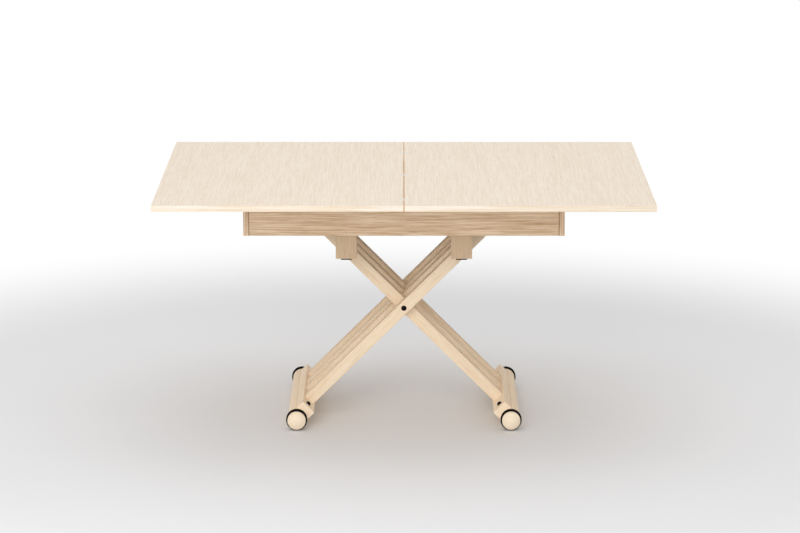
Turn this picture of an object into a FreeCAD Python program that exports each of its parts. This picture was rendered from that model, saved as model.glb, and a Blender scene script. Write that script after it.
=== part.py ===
"""Folding coffee and dining table on a wooden scissor stand, in millimetres.

X runs along the open top's length, Y away from the viewer, Z up from the floor.
The origin is on the floor under the middle of the open top.
"""
import FreeCAD, Part
import math
import os

V = FreeCAD.Vector
X_AXIS = V(1, 0, 0)
Y_AXIS = V(0, 1, 0)
Z_AXIS = V(0, 0, 1)

# Folding top
TOP_LENGTH = 1500.0
TOP_DEPTH = 1100.0
LEAF_THICK = 18.0
LIPPING = 3.0
SEAM_GAP = 0.4
EDGE_EASE = 1.0

# Flush hinges across the seam
HINGE_FRONT_INSET = 93.0
HINGE_BACK_INSET = 197.0
HINGE_REACH = 21.0
HINGE_WIDTH = 15.0
HINGE_THICK = 2.5
HINGE_LIFT = 0.2
HINGE_PIN_R = 0.9
BARREL_WALL = 0.9
BARREL_ROOM = 0.3
KNUCKLE_SHARE = 3

# Scissor stand
LEG_ANGLE = 45.0
LEG_WIDTH = 36.0
LEG_THICK = 36.0
LEG_EASE = 2.5
LOWER_ARM = 466.0
UPPER_ARM = 440.0
LEG_GAP = 0.5
INNER_LEG_GAP = 2.5
SPRING_LANE = 31.0
PIVOT_R = 5.0
PIVOT_BUSH_WALL = 1.5
CAP_R = 8.5
CAP_RISE = 3.5
RUN_CLEAR = 0.05

# Foot bars, round rails and wheels
BAR_OVER_RAIL = 20.0
BAR_LAP = 11.0
BAR_HALF_WIDTH = 25.0
BAR_OVERHANG = 84.0
BAR_EASE = 3.0
RAIL_R = 28.0
RAIL_OFFSET = 3.0
RAIL_OVERHANG = 16.0
WHEEL_GAP = 0.5
WHEEL_WIDTH = 42.0
WHEEL_CROWN = 12.0
TYRE_INSET = 4.0
TYRE_WIDTH = 16.0
TYRE_RISE = 4.6
TYRE_LET_IN = 2.0
TYRE_EASE = 1.5
STUB_R = 5.0
STUB_IN_RAIL = 34.0
STUB_CROWN_LEFT = 14.0
STUB_TO_BOLT = 16.0
BOLT_HEAD_R = 8.5
BOLT_HEAD_RISE = 7.0
BOLT_SHANK_R = 4.0
BOLT_IN_RAIL = 22.0
BOLT_LEG_GAP = 2.5

# Frame under the top
FRAME_LENGTH = 980.0
BOARD_THICK = 16.0
APRON_HEIGHT = 125.0
APRON_LEAF_GAP = 1.0
BOARD_EASE = 1.5
DECK_THICK = 12.0
CORNER_LEG = 40.0
CORNER_RISE = 31.0
TRACK_LEG_GAP = 4.0
TRACK_THICK = 16.0
TRACK_BELOW_AXLE = 31.0
TRACK_END_WOOD = 15.764
SLOT_END_ROOM = 7.0
SLOT_CLEAR = 0.1
BLOCK_WIDTH = 64.0
BLOCK_PLACE = 176.5
BLOCK_TRACK_GAP = 30.0
BLOCK_DROP = 75.0
PAD_WIDTH = 34.0
PAD_THICK = 6.5
SCREW_R = 2.2
SCREW_HEAD_R = 4.5
SCREW_HEAD_DEPTH = 3.0
SCREW_LENGTH = 32.0
SCREW_TO_SWIVEL = 37.5
SCREW_END_INSET = 74.0

# Sliding carriages
AXLE_R = 6.0
RUNNER_LENGTH = 30.0
RUNNER_HEIGHT = 24.0

# Lift spring
SPRING_OVER_AXLE = 29.0
SPRING_R = 11.0
SPRING_WALL = 2.0
SPRING_LENGTH = 356.0
SPRING_CAP = 26.0
SPRING_GLAND = 10.0
ROD_R = 5.0
PISTON_LENGTH = 15.0
PISTON_END_ROOM = 25.0
YOKE_LENGTH = 30.0
YOKE_LEG_GAP = 3.5
YOKE_BELOW_AXLE = 15.0
YOKE_MARGIN = 6.0
DECK_HEADROOM = 10.0
ANCHOR_LENGTH = 30.0
ANCHOR_HALF_HEIGHT = 12.0
EAR_THICK = 5.0
EAR_TIP = 8.0

# Release lever
LEVER_ROOM = 34.0
LEVER_PIN_R = 3.0
LEVER_HUB_R = 7.0
LEVER_HUB_GAP = 3.0
LEVER_SIDE_CLEAR = 0.3
LEVER_OFFSET = 12.0
LEVER_STRIP = 4.0
LEVER_BELOW_APRON = 12.0
PADDLE_WIDTH = 40.0
PADDLE_HEIGHT = 22.0

# Swivel between frame and top
SWIVEL_PLATE = 90.0
SWIVEL_SHEET = 1.4
SWIVEL_GAP = 0.2
SWIVEL_PIN_R = 8.0
SWIVEL_SEAT = 4.0
SWIVEL_NUT_FLATS = 24.0
SWIVEL_NUT_SIDES = 6
SWIVEL_NUT_CLEAR = 0.3
GLIDE_R = 15.0
GLIDE_CLEAR = 0.1
GLIDE_INSET_X = 70.0
GLIDE_INSET_Y = 65.0

# Places that follow from the sizes above
SIN = math.sin(math.radians(LEG_ANGLE))
COS = math.cos(math.radians(LEG_ANGLE))
TYRE_R = RAIL_R + TYRE_RISE
PIVOT_Z = TYRE_R + LOWER_ARM * SIN - RAIL_OFFSET * COS
FOOT_X = LOWER_ARM * COS + RAIL_OFFSET * SIN
PIN_X = UPPER_ARM * COS
PIN_Z = PIVOT_Z + UPPER_ARM * SIN
SPRING_Z = PIN_Z + SPRING_OVER_AXLE
YOKE_TOP = SPRING_Z + SPRING_R + YOKE_MARGIN
DECK_Z = YOKE_TOP + DECK_HEADROOM
DECK_TOP = DECK_Z + DECK_THICK
LEAF_Z = DECK_TOP + 2 * SWIVEL_SHEET + SWIVEL_GAP
TOP_Z = LEAF_Z + LEAF_THICK
APRON_TOP = LEAF_Z - APRON_LEAF_GAP
APRON_Z = APRON_TOP - APRON_HEIGHT
HINGE_Z = TOP_Z + HINGE_LIFT
BARREL_R = HINGE_PIN_R + BARREL_WALL
HINGE_FRONT_Y = -TOP_DEPTH / 2 + HINGE_FRONT_INSET
HINGE_BACK_Y = TOP_DEPTH / 2 - HINGE_BACK_INSET
HINGE_YS = [HINGE_FRONT_Y, (HINGE_FRONT_Y + HINGE_BACK_Y) / 2, HINGE_BACK_Y]
INNER_LEG_FACE = LEG_THICK / 2 + INNER_LEG_GAP + LEG_THICK
OUTER_LEG_FACE = INNER_LEG_FACE + SPRING_LANE + 2 * LEG_THICK + LEG_GAP
SPRING_Y = INNER_LEG_FACE + SPRING_LANE / 2
BAR_SEAT = RAIL_R + BAR_OVER_RAIL
BAR_DEPTH = BAR_OVER_RAIL + BAR_LAP
BAR_HALF_LENGTH = OUTER_LEG_FACE + BAR_OVERHANG
RAIL_HALF_LENGTH = BAR_HALF_LENGTH + RAIL_OVERHANG
STUB_IN_WHEEL = WHEEL_WIDTH - STUB_CROWN_LEFT
BOLT_FRONT_Y = -RAIL_HALF_LENGTH + STUB_IN_RAIL + STUB_TO_BOLT
BOLT_REAR_Y = OUTER_LEG_FACE + BOLT_LEG_GAP + BOLT_HEAD_R
TRACK_INNER_FACE = OUTER_LEG_FACE + TRACK_LEG_GAP
TRACK_OUTER_FACE = TRACK_INNER_FACE + TRACK_THICK
INNER_X = FRAME_LENGTH / 2 - BOARD_THICK
SLOT_NEAR = PIN_X - RUNNER_LENGTH / 2 - SLOT_END_ROOM
SLOT_FAR = INNER_X - TRACK_END_WOOD
PIN_LOW_X = SLOT_FAR - SLOT_END_ROOM - RUNNER_LENGTH / 2
INNER_Y = TRACK_OUTER_FACE + BLOCK_TRACK_GAP + BLOCK_WIDTH
FRAME_DEPTH = 2 * (INNER_Y + BOARD_THICK)
YOKE_HALF = SPRING_LANE / 2 - YOKE_LEG_GAP
LEVER_PIN_X = INNER_X - LEVER_ROOM
ANCHOR_FAR = LEVER_PIN_X - LEVER_HUB_R - LEVER_HUB_GAP
ANCHOR_NEAR = ANCHOR_FAR - ANCHOR_LENGTH

# The swivel lies where a quarter turn brings the folded top over the frame's middle
SWIVEL_X = -TOP_LENGTH / 8
SWIVEL_Y = TOP_LENGTH / 8
NUT_TOP = DECK_TOP - SWIVEL_SEAT - SWIVEL_NUT_CLEAR
NUT_CORNER_R = SWIVEL_NUT_FLATS / 2 / math.cos(math.pi / SWIVEL_NUT_SIDES)
SCREW_PLACES = (-SWIVEL_X - SCREW_TO_SWIVEL, INNER_X - SCREW_END_INSET)

# Depth of each leg: the A legs fall to the left, the B legs to the right
LEG_A_FRONTS = {
    "front": -OUTER_LEG_FACE,
    "inner_front": -INNER_LEG_FACE,
    "inner_rear": INNER_LEG_FACE - LEG_THICK,
    "rear": OUTER_LEG_FACE - LEG_THICK,
}
LEG_B_FRONTS = {
    "front": -OUTER_LEG_FACE + LEG_THICK + LEG_GAP,
    "middle": -LEG_THICK / 2,
    "rear": OUTER_LEG_FACE - 2 * LEG_THICK - LEG_GAP,
}


def box(x0, x1, y0, y1, z0, z1):
    """Block between two corners."""
    return Part.makeBox(x1 - x0, y1 - y0, z1 - z0, V(x0, y0, z0))


def rod_y(radius, y0, y1, x, z):
    """Round bar along Y."""
    return Part.makeCylinder(radius, y1 - y0, V(x, y0, z), Y_AXIS)


def rod_x(radius, x0, x1, y, z):
    """Round bar along X."""
    return Part.makeCylinder(radius, x1 - x0, V(x0, y, z), X_AXIS)


def rod_z(radius, z0, z1, x, y):
    """Round bar along Z."""
    return Part.makeCylinder(radius, z1 - z0, V(x, y, z0), Z_AXIS)


def dome_y(radius, rise, y, side, x, z):
    """Shallow dome on a flat round base at y, standing out towards side (+1 or -1) along Y."""
    sphere_r = (radius ** 2 + rise ** 2) / (2 * rise)
    ball = Part.makeSphere(sphere_r, V(x, y - side * (sphere_r - rise), z))
    low, high = sorted((y, y + side * rise))
    return ball.common(rod_y(radius, low, high, x, z))


def eased(shape, radius, wanted):
    """Fillet the edges that the test picks."""
    edges = [edge for edge in shape.Edges if wanted(edge)]
    return shape.makeFillet(radius, edges)


def runs_along(edge, axis):
    """True for a straight edge parallel to axis."""
    if not isinstance(edge.Curve, Part.Line):
        return False
    return abs(abs(edge.Curve.Direction.dot(axis)) - 1) < 1e-6


def mirror_x(shape):
    """The same piece on the other side of the table's middle."""
    return shape.mirror(V(0, 0, 0), X_AXIS)


def stand_up(shape):
    """Turn a piece drawn along X through the pivot into the place of the A legs."""
    placed = shape.copy()
    placed.rotate(V(0, 0, 0), Y_AXIS, -LEG_ANGLE)
    placed.translate(V(0, 0, PIVOT_Z))
    return placed


def beside_middle(shape):
    """Move a piece drawn at the table's middle into the spring's lane between two legs."""
    return shape.translated(V(0, SPRING_Y, 0))


def save(name, *solids):
    """Write one node, as one solid or as a group of like solids."""
    shape = solids[0] if len(solids) == 1 else Part.makeCompound(list(solids))
    shape.exportStep("parts/" + name + ".step")


# Leaves of the top
def hinge_barrel(y, radius, y0, y1):
    """Round stretch on the hinge line, between two depths measured from the hinge's middle."""
    return rod_y(radius, y + y0, y + y1, 0, HINGE_Z)


def hinge_flap(y):
    """Flush flap of the left leaf: a strip with a round outer end."""
    end_r = HINGE_WIDTH / 2
    floor = TOP_Z - HINGE_THICK
    strip = box(-HINGE_REACH + end_r, -SEAM_GAP / 2, y - end_r, y + end_r, floor, TOP_Z)
    return strip.fuse(rod_z(end_r, floor, TOP_Z, -HINGE_REACH + end_r, y)).removeSplitter()


def left_hinge(y):
    """Left flap with its middle knuckle, bored for the pin that it holds."""
    knuckle = HINGE_WIDTH / KNUCKLE_SHARE / 2
    half = HINGE_WIDTH / 2
    room = BARREL_R + BARREL_ROOM
    flap = hinge_flap(y).cut(hinge_barrel(y, room, -half, -knuckle))
    flap = flap.cut(hinge_barrel(y, room, knuckle, half))
    flap = flap.fuse(hinge_barrel(y, BARREL_R, -knuckle, knuckle))
    return flap.cut(hinge_barrel(y, HINGE_PIN_R, -half, half))


def right_hinge(y):
    """Right flap with its two outer knuckles, which turn on the pin."""
    knuckle = HINGE_WIDTH / KNUCKLE_SHARE / 2 + BARREL_ROOM
    half = HINGE_WIDTH / 2
    room = BARREL_R + BARREL_ROOM
    flap = mirror_x(hinge_flap(y)).cut(hinge_barrel(y, room, -knuckle, knuckle))
    for y0, y1 in ((-half, -knuckle), (knuckle, half)):
        flap = flap.fuse(hinge_barrel(y, BARREL_R, y0, y1))
    return flap.cut(hinge_barrel(y, HINGE_PIN_R + RUN_CLEAR, -half, half))


def leaf_core():
    """Panel of the left leaf, let in for the hinges."""
    edge = TOP_DEPTH / 2 - LIPPING
    panel = box(-TOP_LENGTH / 2 + LIPPING, -SEAM_GAP / 2, -edge, edge, LEAF_Z, TOP_Z)
    half = HINGE_WIDTH / 2 + BARREL_ROOM
    for y in HINGE_YS:
        panel = panel.cut(hinge_flap(y))
        panel = panel.cut(hinge_barrel(y, BARREL_R + BARREL_ROOM, -half, half))
    return panel


def leaf_lipping():
    """Three edge strips of the left leaf, with eased outer corners."""
    outer_x = -TOP_LENGTH / 2
    outer_y = TOP_DEPTH / 2
    end = box(outer_x, outer_x + LIPPING, -outer_y, outer_y, LEAF_Z, TOP_Z)
    half = LIPPING / 2
    end = eased(end, EDGE_EASE, lambda e: runs_along(e, Y_AXIS) and e.CenterOfMass.x < outer_x + half)
    side = box(outer_x + LIPPING, -SEAM_GAP / 2, -outer_y, -outer_y + LIPPING, LEAF_Z, TOP_Z)
    side = eased(side, EDGE_EASE, lambda e: runs_along(e, X_AXIS) and e.CenterOfMass.y < half - outer_y)
    return [end, side, side.mirror(V(0, 0, 0), Y_AXIS)]


def build_top():
    """Both leaves with their lippings, hinges and hinge pins."""
    save("leaf_left", leaf_core())
    save("leaf_right", mirror_x(leaf_core()))
    save("lipping_left", *leaf_lipping())
    save("lipping_right", *[mirror_x(strip) for strip in leaf_lipping()])
    save("hinge_flaps_left", *[left_hinge(y) for y in HINGE_YS])
    save("hinge_flaps_right", *[right_hinge(y) for y in HINGE_YS])
    half = HINGE_WIDTH / 2
    save("hinge_pins", *[hinge_barrel(y, HINGE_PIN_R, -half, half) for y in HINGE_YS])


def build_swivel():
    """Two thin plates and the pin that the top turns on, with its nut sunk in the deck's underside."""
    reach = SWIVEL_PLATE / 2
    x0, x1 = SWIVEL_X - reach, SWIVEL_X + reach
    y0, y1 = SWIVEL_Y - reach, SWIVEL_Y + reach
    bore = rod_z(SWIVEL_PIN_R + RUN_CLEAR, DECK_Z, LEAF_Z, SWIVEL_X, SWIVEL_Y)
    save("swivel_base", box(x0, x1, y0, y1, DECK_TOP, DECK_TOP + SWIVEL_SHEET).cut(bore))
    save("swivel_plate", box(x0, x1, y0, y1, LEAF_Z - SWIVEL_SHEET, LEAF_Z))
    save("swivel_pin", rod_z(SWIVEL_PIN_R, DECK_Z, LEAF_Z - SWIVEL_SHEET, SWIVEL_X, SWIVEL_Y))
    corners = []
    for step in range(SWIVEL_NUT_SIDES + 1):
        turn = 2 * math.pi * step / SWIVEL_NUT_SIDES
        across = V(NUT_CORNER_R * math.cos(turn), NUT_CORNER_R * math.sin(turn), 0)
        corners.append(V(SWIVEL_X, SWIVEL_Y, DECK_Z) + across)
    nut = Part.Face(Part.makePolygon(corners)).extrude(V(0, 0, NUT_TOP - DECK_Z))
    save("swivel_nut", nut.cut(rod_z(SWIVEL_PIN_R, DECK_Z, NUT_TOP, SWIVEL_X, SWIVEL_Y)))


# Frame
def deck_screw(x, y):
    """Countersunk screw, flush with the deck."""
    neck = DECK_TOP - SCREW_HEAD_DEPTH
    head = Part.makeCone(SCREW_R, SCREW_HEAD_R, SCREW_HEAD_DEPTH, V(x, y, neck), Z_AXIS)
    return head.fuse(rod_z(SCREW_R, DECK_TOP - SCREW_LENGTH, neck, x, y))


def deck_screws(side):
    """Screws that hold one track rail to the deck."""
    y = side * (TRACK_INNER_FACE + TRACK_OUTER_FACE) / 2
    return [deck_screw(end * x, y) for end in (-1, 1) for x in SCREW_PLACES]


def track_rail(side):
    """Rail with two slots, in which the carriages' runners slide."""
    y0, y1 = sorted((side * TRACK_INNER_FACE, side * TRACK_OUTER_FACE))
    rail = box(-INNER_X, INNER_X, y0, y1, PIN_Z - TRACK_BELOW_AXLE, DECK_Z)
    half_height = RUNNER_HEIGHT / 2 + SLOT_CLEAR
    slot = box(SLOT_NEAR, SLOT_FAR, y0, y1, PIN_Z - half_height, PIN_Z + half_height)
    rail = rail.cut(slot).cut(mirror_x(slot))
    for screw in deck_screws(side):
        rail = rail.cut(screw)
    return rail


def build_aprons():
    """Four boards round the frame; the end boards lap over the ends of the long ones."""
    end_x = FRAME_LENGTH / 2
    end_y = FRAME_DEPTH / 2
    half = BOARD_THICK / 2
    long_board = box(-INNER_X, INNER_X, -end_y, -INNER_Y, APRON_Z, APRON_TOP)
    front = lambda e: runs_along(e, X_AXIS) and e.CenterOfMass.y < half - end_y
    long_board = eased(long_board, BOARD_EASE, front)
    end_board = box(-end_x, -INNER_X, -end_y, end_y, APRON_Z, APRON_TOP)
    outside = lambda e: runs_along(e, Y_AXIS) and e.CenterOfMass.x < half - end_x
    end_board = eased(end_board, BOARD_EASE, outside)
    save("apron_front", long_board)
    save("apron_back", long_board.mirror(V(0, 0, 0), Y_AXIS))
    save("apron_left", end_board)
    save("apron_right", mirror_x(end_board))


def build_deck():
    """Deck, its corner blocks, track rails, screws and glide pads."""
    deck = box(-INNER_X, INNER_X, -INNER_Y, INNER_Y, DECK_Z, DECK_TOP)
    deck = deck.cut(rod_z(SWIVEL_PIN_R + RUN_CLEAR, DECK_Z, DECK_TOP, SWIVEL_X, SWIVEL_Y))
    nut_room = NUT_CORNER_R + SWIVEL_NUT_CLEAR
    deck = deck.cut(rod_z(nut_room, DECK_Z, DECK_TOP - SWIVEL_SEAT, SWIVEL_X, SWIVEL_Y))
    screws = deck_screws(-1) + deck_screws(1)
    for screw in screws:
        deck = deck.cut(screw)
    save("deck", deck)
    save("deck_screws", *screws)
    save("track_front", track_rail(-1))
    save("track_back", track_rail(1))
    corners = []
    floor = APRON_Z + CORNER_RISE
    for sx in (-1, 1):
        for sy in (-1, 1):
            corner = V(sx * INNER_X, sy * INNER_Y, floor)
            along = V(-sx * CORNER_LEG, 0, 0)
            across = V(0, -sy * CORNER_LEG, 0)
            outline = Part.makePolygon([corner, corner + along, corner + across, corner])
            corners.append(Part.Face(outline).extrude(V(0, 0, DECK_Z - floor)))
    save("corner_blocks", *corners)
    pads = []
    for sx in (-1, 1):
        for sy in (-1, 1):
            place = (sx * (FRAME_LENGTH / 2 - GLIDE_INSET_X), sy * (FRAME_DEPTH / 2 - GLIDE_INSET_Y))
            pads.append(rod_z(GLIDE_R, DECK_TOP, LEAF_Z - GLIDE_CLEAR, *place))
    save("glide_pads", *pads)


def build_rest_blocks():
    """Four square posts with square rubber pads, just above the floor when the table is lowered."""
    floor = APRON_Z - BLOCK_DROP
    half = BLOCK_WIDTH / 2
    pad_half = PAD_WIDTH / 2
    pads = []
    for name, sy in (("front", -1), ("back", 1)):
        posts = []
        for x in (-BLOCK_PLACE, BLOCK_PLACE):
            y = sy * (INNER_Y - half)
            post = box(x - half, x + half, y - half, y + half, floor, DECK_Z)
            posts.append(eased(post, BOARD_EASE, lambda e: runs_along(e, Z_AXIS)))
            pad = box(x - pad_half, x + pad_half, y - pad_half, y + pad_half, floor - PAD_THICK, floor)
            pads.append(eased(pad, BOARD_EASE, lambda e: runs_along(e, Z_AXIS)))
        save("rest_blocks_" + name, *posts)
    save("rest_pads", *pads)


# Carriages and lift spring
def build_carriages():
    """Axles through the legs' upper ends, with runners at the tracks."""
    half = RUNNER_HEIGHT / 2
    for name, x in (("a", PIN_X), ("b", -PIN_X)):
        axle = rod_y(AXLE_R, -TRACK_OUTER_FACE, TRACK_OUTER_FACE, x, PIN_Z)
        runners = []
        for y0, y1 in ((-TRACK_OUTER_FACE, -TRACK_INNER_FACE), (TRACK_INNER_FACE, TRACK_OUTER_FACE)):
            block = box(x - RUNNER_LENGTH / 2, x + RUNNER_LENGTH / 2, y0, y1, PIN_Z - half, PIN_Z + half)
            runners.append(block.cut(axle))
        save("axle_" + name, axle)
        save("runners_" + name, *runners)


def build_spring():
    """Gas spring lying in the frame: cylinder on the left carriage, rod on the frame."""
    start = -PIN_X + YOKE_LENGTH / 2
    yoke = box(start - YOKE_LENGTH, start, -YOKE_HALF, YOKE_HALF, PIN_Z - YOKE_BELOW_AXLE, YOKE_TOP)
    yoke = yoke.cut(rod_y(AXLE_R, -YOKE_HALF, YOKE_HALF, -PIN_X, PIN_Z))
    save("spring_yoke", beside_middle(yoke))
    end = start + SPRING_LENGTH
    bore_r = SPRING_R - SPRING_WALL
    tube = rod_x(SPRING_R, start, end, 0, SPRING_Z)
    tube = tube.cut(rod_x(bore_r, start + SPRING_CAP, end - SPRING_GLAND, 0, SPRING_Z))
    tube = tube.cut(rod_x(ROD_R + RUN_CLEAR, start + SPRING_CAP, end, 0, SPRING_Z))
    save("spring_cylinder", beside_middle(tube))
    travel = PIN_LOW_X - PIN_X
    piston_end = end - SPRING_GLAND - PISTON_END_ROOM - travel
    piston_start = piston_end - PISTON_LENGTH
    rod = rod_x(ROD_R, piston_start, (ANCHOR_NEAR + ANCHOR_FAR) / 2, 0, SPRING_Z)
    piston = rod_x(bore_r - RUN_CLEAR, piston_start, piston_end, 0, SPRING_Z)
    save("spring_rod", beside_middle(rod.fuse(piston).removeSplitter()))
    floor = SPRING_Z - ANCHOR_HALF_HEIGHT
    anchor = box(ANCHOR_NEAR, ANCHOR_FAR, -YOKE_HALF, YOKE_HALF, floor, DECK_Z)
    for side in (-1, 1):
        y0, y1 = sorted((side * YOKE_HALF, side * (YOKE_HALF - EAR_THICK)))
        ear = box(ANCHOR_FAR, LEVER_PIN_X + EAR_TIP, y0, y1, floor, SPRING_Z + ANCHOR_HALF_HEIGHT)
        anchor = anchor.fuse(ear)
    anchor = anchor.cut(rod).fuse(rod_y(LEVER_PIN_R, -YOKE_HALF, YOKE_HALF, LEVER_PIN_X, SPRING_Z))
    save("spring_anchor", beside_middle(anchor.removeSplitter()))


def build_lever():
    """Release lever hanging inside the right end board, with a finger paddle below it."""
    half = YOKE_HALF - EAR_THICK - LEVER_SIDE_CLEAR
    x0 = LEVER_PIN_X + LEVER_OFFSET
    x1 = x0 + LEVER_STRIP
    tip = APRON_Z - LEVER_BELOW_APRON
    hub = rod_y(LEVER_HUB_R, -half, half, LEVER_PIN_X, SPRING_Z)
    arm = box(LEVER_PIN_X, x1, -half, half, SPRING_Z - LEVER_STRIP / 2, SPRING_Z + LEVER_STRIP / 2)
    drop = box(x0, x1, -half, half, tip, SPRING_Z + LEVER_STRIP / 2)
    paddle = box(x0, x1, -PADDLE_WIDTH / 2, PADDLE_WIDTH / 2, tip, tip + PADDLE_HEIGHT)
    bore = rod_y(LEVER_PIN_R + RUN_CLEAR, -half, half, LEVER_PIN_X, SPRING_Z)
    lever = hub.fuse([arm, drop, paddle]).cut(bore).removeSplitter()
    save("release_lever", beside_middle(lever))


# Scissor stand
def leg(front, pivot_hole):
    """One leg along X through the pivot: flat lower end, round upper end, two bores."""
    half = LEG_WIDTH / 2
    rear = front + LEG_THICK
    beam = box(-LOWER_ARM + BAR_SEAT, UPPER_ARM, front, rear, -half, half)
    beam = beam.fuse(rod_y(half, front, rear, UPPER_ARM, 0)).removeSplitter()
    beam = eased(beam, LEG_EASE, lambda e: runs_along(e, X_AXIS))
    beam = beam.cut(rod_y(AXLE_R + RUN_CLEAR, front, rear, UPPER_ARM, 0))
    return beam.cut(rod_y(pivot_hole, front, rear, 0, 0))


def foot_rail():
    """Round rail that the foot bar sits on, without its bores."""
    return rod_y(RAIL_R, -RAIL_HALF_LENGTH, RAIL_HALF_LENGTH, -LOWER_ARM, RAIL_OFFSET)


def foot_bolt(y):
    """Domed bolt from the bar's inner face to the heart of the round rail."""
    seat = -LOWER_ARM + BAR_SEAT
    shank = rod_x(BOLT_SHANK_R, -LOWER_ARM - RAIL_R + BOLT_IN_RAIL, seat, y, RAIL_OFFSET)
    sphere_r = (BOLT_HEAD_R ** 2 + BOLT_HEAD_RISE ** 2) / (2 * BOLT_HEAD_RISE)
    ball = Part.makeSphere(sphere_r, V(seat + BOLT_HEAD_RISE - sphere_r, y, RAIL_OFFSET))
    return shank.fuse(ball.common(rod_x(BOLT_HEAD_R, seat, seat + BOLT_HEAD_RISE, y, RAIL_OFFSET)))


def foot_bar():
    """Square bar across the legs' lower ends, coved for the round rail."""
    seat = -LOWER_ARM + BAR_SEAT
    bar = box(seat - BAR_DEPTH, seat, -BAR_HALF_LENGTH, BAR_HALF_LENGTH, -BAR_HALF_WIDTH, BAR_HALF_WIDTH)
    bar = eased(bar, BAR_EASE, lambda e: runs_along(e, Y_AXIS) and e.CenterOfMass.x > seat - BAR_DEPTH / 2)
    bar = bar.cut(foot_rail())
    for y in (BOLT_FRONT_Y, BOLT_REAR_Y):
        bar = bar.cut(foot_bolt(y))
    return bar


def wheel_stub(side):
    """Short axle between the rail's end and the wheel."""
    y0, y1 = sorted((side * (RAIL_HALF_LENGTH - STUB_IN_RAIL), side * (RAIL_HALF_LENGTH + STUB_IN_WHEEL)))
    return rod_y(STUB_R, y0, y1, -LOWER_ARM, RAIL_OFFSET)


def bored_rail():
    """Round rail with bores for its bolts and axles."""
    rail = foot_rail()
    for y in (BOLT_FRONT_Y, BOLT_REAR_Y):
        rail = rail.cut(foot_bolt(y))
    for side in (-1, 1):
        rail = rail.cut(wheel_stub(side))
    return rail


def build_stand():
    """Both leg pairs with their feet, and the pivot that joins them."""
    bush_r = PIVOT_R + RUN_CLEAR + PIVOT_BUSH_WALL
    for name, front in LEG_A_FRONTS.items():
        save("leg_a_" + name, stand_up(leg(front, PIVOT_R)))
    bushes = []
    for name, front in LEG_B_FRONTS.items():
        save("leg_b_" + name, mirror_x(stand_up(leg(front, bush_r))))
        sleeve = rod_y(bush_r, front, front + LEG_THICK, 0, PIVOT_Z)
        bushes.append(sleeve.cut(rod_y(PIVOT_R + RUN_CLEAR, front, front + LEG_THICK, 0, PIVOT_Z)))
    save("pivot_bushes", *bushes)
    save("pivot_rod", rod_y(PIVOT_R, -OUTER_LEG_FACE, OUTER_LEG_FACE, 0, PIVOT_Z))
    save("pivot_caps", *[dome_y(CAP_R, CAP_RISE, s * OUTER_LEG_FACE, s, 0, PIVOT_Z) for s in (-1, 1)])
    feet = {"foot_bar": [foot_bar()], "round_rail": [bored_rail()],
            "foot_bolts": [foot_bolt(y) for y in (BOLT_FRONT_Y, BOLT_REAR_Y)],
            "wheel_stubs": [wheel_stub(side) for side in (-1, 1)]}
    for name, solids in feet.items():
        placed = [stand_up(solid) for solid in solids]
        save(name + "_left", *placed)
        save(name + "_right", *[mirror_x(solid) for solid in placed])


def wheel_profile(y0):
    """Half outline of a wheel in the radius and depth plane: straight tread, ball-like outer face."""
    shoulder = y0 + WHEEL_WIDTH - WHEEL_CROWN
    crown = y0 + WHEEL_WIDTH
    ball_r = (RAIL_R ** 2 + WHEEL_CROWN ** 2) / (2 * WHEEL_CROWN)
    half_turn = math.atan2(RAIL_R, ball_r - WHEEL_CROWN) / 2
    mid = V(ball_r * math.sin(half_turn), crown - ball_r + ball_r * math.cos(half_turn), 0)
    tread = Part.makePolygon([V(0, crown, 0), V(0, y0, 0), V(RAIL_R, y0, 0), V(RAIL_R, shoulder, 0)])
    dome = Part.Arc(V(RAIL_R, shoulder, 0), mid, V(0, crown, 0)).toShape()
    return Part.Face(Part.Wire(tread.Edges + [dome]))


def tyre_band(y0):
    """Flat rubber band let into the wheel's tread, with eased outer edges."""
    start = y0 + TYRE_INSET
    end = start + TYRE_WIDTH
    band = rod_y(TYRE_R, start, end, 0, 0)
    band = eased(band, TYRE_EASE, lambda e: isinstance(e.Curve, Part.Circle))
    return band.cut(rod_y(RAIL_R - TYRE_LET_IN, start, end, 0, 0))


def build_wheels():
    """Four domed wheels with flat rubber tyres, turning on the stub axles."""
    y0 = RAIL_HALF_LENGTH + WHEEL_GAP
    body = wheel_profile(y0).revolve(V(0, 0, 0), Y_AXIS, 360)
    tyre = tyre_band(y0)
    bore = rod_y(STUB_R + RUN_CLEAR, y0, RAIL_HALF_LENGTH + STUB_IN_WHEEL + WHEEL_GAP, 0, 0)
    body = body.cut(bore).cut(tyre)
    for x_name, sx in (("left", -1), ("right", 1)):
        for y_name, sy in (("front", -1), ("back", 1)):
            for name, solid in (("wheel", body), ("tyre", tyre)):
                piece = solid.copy() if sy > 0 else solid.mirror(V(0, 0, 0), Y_AXIS)
                piece.translate(V(sx * FOOT_X, 0, TYRE_R))
                save(name + "_" + y_name + "_" + x_name, piece)


os.makedirs("parts", exist_ok=True)
build_top()
build_swivel()
build_aprons()
build_deck()
build_rest_blocks()
build_carriages()
build_spring()
build_lever()
build_stand()
build_wheels()
print("top height", round(TOP_Z, 2), "apron underside", round(APRON_Z, 2))
print("carriage travel", round(PIN_LOW_X - PIN_X, 3), "pin", round(PIN_X, 3), round(PIN_Z, 3))
print("foot", round(FOOT_X, 3), "pivot height", round(PIVOT_Z, 3))
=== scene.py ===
"""Looks of a folding coffee and dining table: its woods, its other materials and its turned pieces.

Metres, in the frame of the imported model: X along the open top, Y away from the viewer, Z up from the floor.
"""
import math

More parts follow.
